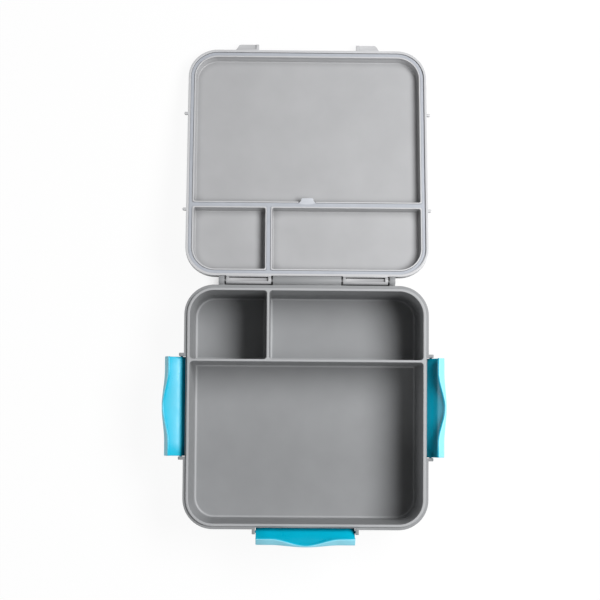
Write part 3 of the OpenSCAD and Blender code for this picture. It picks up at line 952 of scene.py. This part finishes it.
def gusset(graph, given):
    """A wedge with a hollow face that rounds an inner corner of the seal."""
    radius = given["Gusset Radius"]
    quarter = {"Start Angle": pi, "Sweep Angle": pi / 2, "Resolution": given["Gusset Steps"]}
    hollow = graph.shape("CurveArc", {"Radius": radius, **quarter}, mode="RADIUS")
    hollow = graph.moved(hollow, graph.vector(radius, radius))
    edges = graph.shape("CurveToMesh", {"Curve": hollow})
    # The plan is a fan from the hollow to a point tucked under the strips
    tuck = graph.math("MULTIPLY", radius, -TUCK_SHARE)
    fan = graph.add("GeometryNodeExtrudeMesh", {"Mesh": edges, "Offset Scale": 0.0}, mode="EDGES")
    pull = {"Geometry": fan["Mesh"], "Selection": fan["Top"], "Position": graph.vector(tuck, tuck)}
    plan = graph.merged(graph.shape("SetPosition", pull))
    # The wedge is a little lower than the strips, so their faces stay clear of each other
    height = graph.math("MULTIPLY", given["Strip Height"], WEDGE_SHARE)
    bottom = graph.moved(plan, graph.vector(z=graph.math("MULTIPLY", height, -0.5)))
    rise = {"Mesh": bottom, "Offset": graph.vector(z=height), "Offset Scale": 1.0, "Individual": False}
    walls = graph.shape("ExtrudeMesh", rise, mode="FACES")
    under = graph.shape("FlipFaces", {"Mesh": bottom})
    return graph.merged(graph.shape("JoinGeometry", {"Geometry": [walls, under]}))


TAB_POINTS = 24
TAB_EDGE_SHARE = 0.45
LOOP_CORNER_POINTS = 24
SOCKET_KINDS = {float: "Float", int: "Int", tuple: "Vector", bpy.types.Material: "Material"}


def seal_tree(values):
    """Node tree that runs the seal's strip along the lid's channel, with bars, gussets and pull tab."""
    tree = bpy.data.node_groups.new("seal_strip", "GeometryNodeTree")
    graph = Graph(tree)

    def socket(name, kind, in_out="INPUT"):
        return tree.interface.new_socket(name=name, in_out=in_out, socket_type="NodeSocket" + kind).identifier

    socket("Corners", "Geometry")
    sockets = {name: socket(name, SOCKET_KINDS[type(value)]) for name, value in values.items()}
    socket("Seal", "Geometry", "OUTPUT")
    given = graph.add("NodeGroupInput")

    def rounded(width, height, radius, count=5):
        """A rectangle with rounded corners."""
        box = graph.shape("CurvePrimitiveQuadrilateral", {"Width": width, "Height": height})
        fillet = {"Curve": box, "Radius": radius, "Count": count, "Limit Radius": True}
        return graph.shape("FilletCurve", fillet, mode="POLY")

    def straight(name):
        """A line between two of the given points."""
        ends = {"Start": given[name + " From"], "End": given[name + " To"]}
        return graph.shape("CurvePrimitiveLine", ends)

    def swept(path, section, scale=1.0):
        """A strip along a path, upright."""
        line = graph.shape("SetCurveNormal", {"Curve": path}, mode="Z_UP")
        sweep = {"Curve": line, "Profile Curve": section, "Scale": scale, "Fill Caps": True}
        return graph.shape("CurveToMesh", sweep)

    strip = rounded(given["Strip Width"], given["Strip Height"], given["Edge Rounding"])
    bar = rounded(given["Bar Width"], given["Strip Height"], given["Edge Rounding"])
    loop = rounded(given["Path Width"], given["Path Length"], given["Path Corner"], LOOP_CORNER_POINTS)
    loop = graph.moved(loop, graph.vector(z=given["Middle Height"]))
    solids = [swept(loop, strip), swept(straight("Cross"), bar), swept(straight("Short"), bar)]

    # The pull tab has a round end and flares into the bar
    line = graph.shape("ResampleCurve", {"Curve": straight("Tab"), "Count": TAB_POINTS})
    place = graph.add("GeometryNodeSplineParameter")["Factor"]
    tip = graph.spread(place, low=0.7, high=1.0, over=(-0.15, 0.2), step="SMOOTHSTEP")
    flare = graph.spread(place, low=0.0, high=0.36, over=(0.3, 0.72), step="SMOOTHSTEP")
    edge_r = graph.math("MULTIPLY", given["Tab Thickness"], TAB_EDGE_SHARE)
    section = rounded(given["Tab Width"], given["Tab Thickness"], edge_r)
    solids.append(swept(line, section, graph.math("ADD", tip, flare)))

    # A gusset rounds each inner corner beside a bar
    turn = graph.shape("InputNamedAttribute", {"Name": "turn"}, data_type="FLOAT_VECTOR")
    corners = {"Points": given["Corners"], "Instance": gusset(graph, given), "Rotation": turn}
    solids.append(graph.shape("RealizeInstances", {"Geometry": graph.shape("InstanceOnPoints", corners)}))
    union = graph.shape("MeshBoolean", {1: solids}, operation="UNION", solver="MANIFOLD")
    plain = graph.shape("RealizeInstances", {"Geometry": union})
    coat = graph.shape("SetMaterial", {"Geometry": plain, "Material": given["Silicone"]})
    graph.add("NodeGroupOutput", {0: coat})
    return tree, sockets


def seal_corners(tub, lid, seal, z):
    """The inner corners beside the bars as points, each with the quarter turn that faces its window."""
    windows = compartments(tub, lid.groove_in - seal.fit, seal.bar_w / 2 - seal.fit)
    # Corners are counted from the front right, counter-clockwise
    places, quarters = [], []
    for window, small in zip(windows, ((1, 2), (0, 1, 3), (0, 2, 3))):
        x0, x1, y0, y1 = window[0]
        places += [((x1, x1, x0, x0)[q], (y0, y1, y1, y0)[q], z) for q in small]
        quarters += [radians((90, 180, 270, 0)[q]) for q in small]
    mesh = bpy.data.meshes.new("seal_corners")
    mesh.from_pydata(places, [], [])
    turns = mesh.attributes.new("turn", "FLOAT_VECTOR", "POINT")
    for item, quarter in zip(turns.data, quarters):
        item.vector = (0.0, 0.0, quarter)
    return mesh


class LUNCHBOX_OT_seal(bpy.types.Operator):
    """Build the silicone seal along the lid's channel"""

    bl_idname = "lunchbox.seal"
    bl_label = "Seal"

    def execute(self, context):
        settings = context.scene.lunch_box
        tub, lid, seal, finish = settings.tub, settings.lid, settings.seal, settings.finish
        face_z = tub.rim_z + seal.face_rise
        ceiling_z = tub.rim_z + lid.edge_rise - lid.skin_t
        middle_z = (face_z + ceiling_z) / 2
        path_in = (lid.lip_t + lid.groove_in) / 2
        cross_x = tub.half_w - lid.groove_in + OVERLAP
        short_y = tub.half_l - lid.groove_in + OVERLAP
        tab_z = face_z + seal.tab_lift + seal.tab_t / 2
        tab_y = tub.cross_y - seal.bar_w / 2 - seal.tab_out
        # The centre of the pull tab's painted highlight
        behind_tab = laid_back() @ Vector((0.0, tab_y - 20.0 * MM, tab_z))
        silicone = milky_silicone("seal_silicone", finish.seal, finish.seal_tab_highlight, behind_tab)
        values = {
            "Path Width": 2 * (tub.half_w - path_in),
            "Path Length": 2 * (tub.half_l - path_in),
            "Path Corner": tub.corner_r - path_in,
            "Strip Width": lid.groove_in - lid.lip_t - 2 * seal.fit,
            "Strip Height": ceiling_z - face_z,
            "Edge Rounding": seal.edge_r,
            "Bar Width": seal.bar_w - 2 * seal.fit,
            "Middle Height": middle_z,
            "Gusset Radius": lid.rib_corner_r,
            "Tab Width": seal.tab_len,
            "Tab Thickness": seal.tab_t,
            "Cross From": (-cross_x, tub.cross_y, middle_z),
            "Cross To": (cross_x, tub.cross_y, middle_z),
            "Short From": (tub.short_x, tub.cross_y, middle_z),
            "Short To": (tub.short_x, short_y, middle_z),
            "Tab From": (0.0, tab_y, tab_z),
            "Tab To": (0.0, tub.cross_y, tab_z),
            "Gusset Steps": seal.gusset_steps,
            "Silicone": silicone,
        }
        corners = seal_corners(tub, lid, seal, middle_z)
        holder = linked("seal_corners", corners)
        strip = holder.modifiers.new("Seal strip", "NODES")
        strip.node_group, sockets = seal_tree(values)
        for name, value in values.items():
            strip[sockets[name]] = value
        mesh = evaluated_mesh(holder, "lid_gasket")
        bpy.data.objects.remove(holder)
        bpy.data.meshes.remove(corners)
        finished("lid_gasket", mesh, silicone, "lid", "lid_seal", laid_back())
        return {"FINISHED"}


# The points of a clip's section on the hook's top, from the crown to the nose, which take a painted highlight
CLIP_TOP = slice(5, 16)
TAB_STATIONS = 64


def clip_section(clip, along):
    """Cross-section of a closed clip: heel, barrel, plate and a hook that turns inward at the top."""
    share = (1 - cos(pi * min(abs(along) / (clip.tab_len / 2), 1))) / 2
    lip = clip.least_lip + (clip.hook_reach - clip.least_lip) * share
    top = clip.height + clip.tab_rise * (1 - share)
    half, crown, heel = clip.plate_t / 2, clip.crown_r, 0.9 * MM
    under = top - clip.hook_t
    bend = min(0.8 * MM, lip / 2)
    edge = min(0.35 * MM, lip / 4)
    nose = min(1 * MM, lip * 0.8)
    swell, swell_from, swell_to = 0.1 * MM, 5 * MM, 3.5 * MM
    barrel_from, barrel_to = 285, 360 + degrees(acos(half / clip.barrel_r))
    return (
        arc((half - crown, top - crown), crown, 0, 90, 10)
        + arc((nose - half - lip, top - nose), nose, 90, 180, 8)
        + arc((edge - half - lip, under + edge), edge, 180, 270, 4)
        + arc((-half - bend, under - bend), bend, 90, 0, 6)
        + [(-half, swell_from), (-half - swell, swell_to)]
        + arc((-heel, heel - clip.heel_len), heel, 180, 360, 10)
        + arc((0, 0), clip.barrel_r, barrel_from, barrel_to, 14)
    )


def clip_solid(clip):
    """One closed clip about its pivot, with its stub pins; the hook's top is marked for a painted highlight.
    """
    half, r = clip.length / 2, clip.end_round
    # Places along the clip, each with the inset that rounds its ends
    stations = [(-half, r), (-half + 0.3 * r, 0.3 * r), (-half + r, 0.0)]
    stations += [(clip.tab_len * (i / TAB_STATIONS - 0.5), 0.0) for i in range(TAB_STATIONS + 1)]
    stations += [(half - r, 0.0), (half - 0.3 * r, 0.3 * r), (half, r)]
    shell = Shell()
    rubbed = shell.bm.verts.layers.float.new("rubbed")
    rings = []
    for along, inset in stations:
        section = shrunk(clip_section(clip, along), inset)
        rings.append([Vector((u, along, v)) for u, v in section])
    loops = shell.loft(rings)
    for loop in loops:
        for vert in loop[CLIP_TOP]:
            vert[rubbed] = 1.0
    chamfer = 0.2 * MM
    stub = ((0, half), (0, clip.stub_to - chamfer), (chamfer, clip.stub_to))
    for side, loop in ((-1, loops[0]), (1, loops[-1])):
        rings = [[(u, side * w, v) for u, v in circle((0, 0), clip.stub_r - inset)] for inset, w in stub]
        pin = shell.loft(rings)
        shell.fill(loop, pin[0])
        shell.cap(pin[-1])
    return shell.mesh("clip_solid")


class LUNCHBOX_OT_clips(bpy.types.Operator):
    """Build the three swing clips at the angles they are left at"""

    bl_idname = "lunchbox.clips"
    bl_label = "Clips"

    def execute(self, context):
        finish = context.scene.lunch_box.finish
        look = {"roughness": 0.32, "shine": 0.4, "grain": 0.05, "mottle": 0.04}
        # The hook's top takes a paler tint, a painted highlight; creases take painted shade
        turquoise = moulded_plastic("clip_plastic", finish.clip, finish.clip_highlight, marked_highlights, **look)
        for side, turn in (("left", 180), ("right", 0), ("front", 270)):
            joint = JOINTS[side + "_clip_swing"]
            hanging = Matrix.Rotation(radians(joint["range_deg"][1]), 4, "Y")
            place = Matrix.Translation(Vector(joint["pos_m"])) @ about_z(turn).to_4x4() @ hanging
            mesh, body = clip_solid(context.scene.lunch_box.clip), side + "_clip"
            finished(side + "_clip_moulding", mesh, turquoise, body, body, place)
        return {"FINISHED"}


class LUNCHBOX_OT_pins(bpy.types.Operator):
    """Give the two hinge pins their drawn steel"""

    bl_idname = "lunchbox.pins"
    bl_label = "Hinge pins"

    def execute(self, context):
        steel = drawn_steel("pin_steel", context.scene.lunch_box.finish.pin)
        for name in ("left_hinge_pin", "right_hinge_pin"):
            pin = frame["nodes"][name]
            pin.data.materials.clear()
            pin.data.materials.append(steel)
        return {"FINISHED"}


WHITE = (1.0, 1.0, 1.0, 1.0)
PAPER = (0.9, 0.9, 0.9, 1.0)
FLOOR_HALF = 6.0
SENSOR_MM = 36.0
LAMPS_AIM = Vector((0.0, 0.1, 0.03))


def seen_rays(graph):
    """1 for rays from the camera, mirrors and glass, and 0 for the rest."""
    path = graph.add("ShaderNodeLightPath")
    first = graph.math("MAXIMUM", path["Is Camera Ray"], path["Is Glossy Ray"])
    return graph.math("MAXIMUM", first, path["Is Transmission Ray"])


def studio_floor(stage):
    """A large white table that keeps a soft shadow."""
    shell = Shell()
    square = rectangle(-FLOOR_HALF, FLOOR_HALF, -FLOOR_HALF, FLOOR_HALF)
    shell.cap(shell.loft([[(x, y, 0) for x, y in square]])[0])
    floor = linked("studio_floor", shell.mesh("studio_floor"))
    material, graph = new_material("floor_white")
    paper = graph.add("ShaderNodeBsdfDiffuse", {"Color": PAPER})[0]
    glow = graph.add("ShaderNodeEmission", {"Color": WHITE, "Strength": 1.0})[0]
    # Ambient occlusion takes the floor's glow away under the box and in its gaps, a painted shade there
    open_sky = graph.openness(reach=0.3, samples=16)
    white = graph.spread(open_sky, 0.0, stage.floor_white, over=(0.14, 0.3))
    share = graph.math("MULTIPLY", seen_rays(graph), white)
    graph.add("ShaderNodeOutputMaterial", {"Surface": graph.either(share, paper, glow)})
    floor.data.materials.append(material)


def studio_world(stage):
    """Even white light all round, plain white where it is seen."""
    world = bpy.data.worlds.new("studio_world")
    bpy.context.scene.world = world
    world.use_nodes = True
    graph = Graph(world.node_tree)
    fill = graph.add("ShaderNodeBackground", {"Color": WHITE, "Strength": stage.fill})[0]
    white = graph.add("ShaderNodeBackground", {"Color": WHITE, "Strength": 1.0})[0]
    graph.add("ShaderNodeOutputWorld", {"Surface": graph.either(seen_rays(graph), fill, white)})


def studio_lamp(name, power, along, across, height, turn, distance):
    """A soft oval lamp that points at the middle of the open box."""
    light = bpy.data.lights.new(name, "AREA")
    light.shape = "ELLIPSE"
    light.size, light.size_y, light.energy = along, across, power
    lamp = linked(name, light)
    toward = Vector((cos(height) * cos(turn), cos(height) * sin(turn), sin(height)))
    lamp.location = LAMPS_AIM + toward * distance
    lamp.rotation_euler = toward.to_track_quat("Z", "Y").to_euler()


class LUNCHBOX_OT_stage(bpy.types.Operator):
    """Set up the floor, the light, the world and the camera"""

    bl_idname = "lunchbox.stage"
    bl_label = "Stage"

    def execute(self, context):
        stage = context.scene.lunch_box.stage
        studio_floor(stage)
        studio_world(stage)
        oval = (stage.key_length, stage.key_size)
        # Each lamp's power, the length and width of its oval, its angle above the table and from the right
        lamps = {
            "key_lamp": (stage.key_power, *oval, stage.key_height, stage.key_round),
            "edge_lamp": (stage.edge_power, 0.4, 0.4, radians(4), radians(180)),
            "front_lamp": (stage.front_power, 0.5, 0.5, radians(26), radians(270)),
        }
        for name, values in lamps.items():
            studio_lamp(name, *values, stage.lamp_distance)
        lens = bpy.data.cameras.new("photo_camera")
        lens.sensor_fit = "HORIZONTAL"
        lens.sensor_width = SENSOR_MM
        lens.lens = stage.lens
        camera = linked("photo_camera", lens)
        camera.location = stage.camera_at
        camera.rotation_euler = stage.camera_turn
        context.scene.camera = camera
        context.scene.view_settings.view_transform = "Standard"
        return {"FINISHED"}


class LUNCHBOX_PT_sidebar(bpy.types.Panel):
    """Lists the lunch box's pieces in the order they are built"""

    bl_idname = "LUNCHBOX_PT_sidebar"
    bl_label = "Lunch Box"
    bl_space_type = "VIEW_3D"
    bl_region_type = "UI"
    bl_category = "Lunch Box"

    def draw(self, context):
        for operator in OPERATORS:
            self.layout.operator(operator.bl_idname)


GROUPS = (TubSizes, LidSizes, SealSizes, ClipSizes, Finishes, StageSettings, LunchBoxSettings)
OPERATORS = (
    LUNCHBOX_OT_stage,
    LUNCHBOX_OT_tub,
    LUNCHBOX_OT_lid,
    LUNCHBOX_OT_seal,
    LUNCHBOX_OT_clips,
    LUNCHBOX_OT_pins,
)
CLASSES = GROUPS + OPERATORS + (LUNCHBOX_PT_sidebar,)


def register():
    for cls in CLASSES:
        bpy.utils.register_class(cls)
    bpy.types.Scene.lunch_box = PointerProperty(type=LunchBoxSettings)


def unregister():
    del bpy.types.Scene.lunch_box
    for cls in reversed(CLASSES):
        bpy.utils.unregister_class(cls)


def main():
    register()
    bpy.ops.lunchbox.stage()
    bpy.ops.lunchbox.tub()
    bpy.ops.lunchbox.lid()
    bpy.ops.lunchbox.seal()
    bpy.ops.lunchbox.clips()
    bpy.ops.lunchbox.pins()


if __name__ == "__main__":
    main()
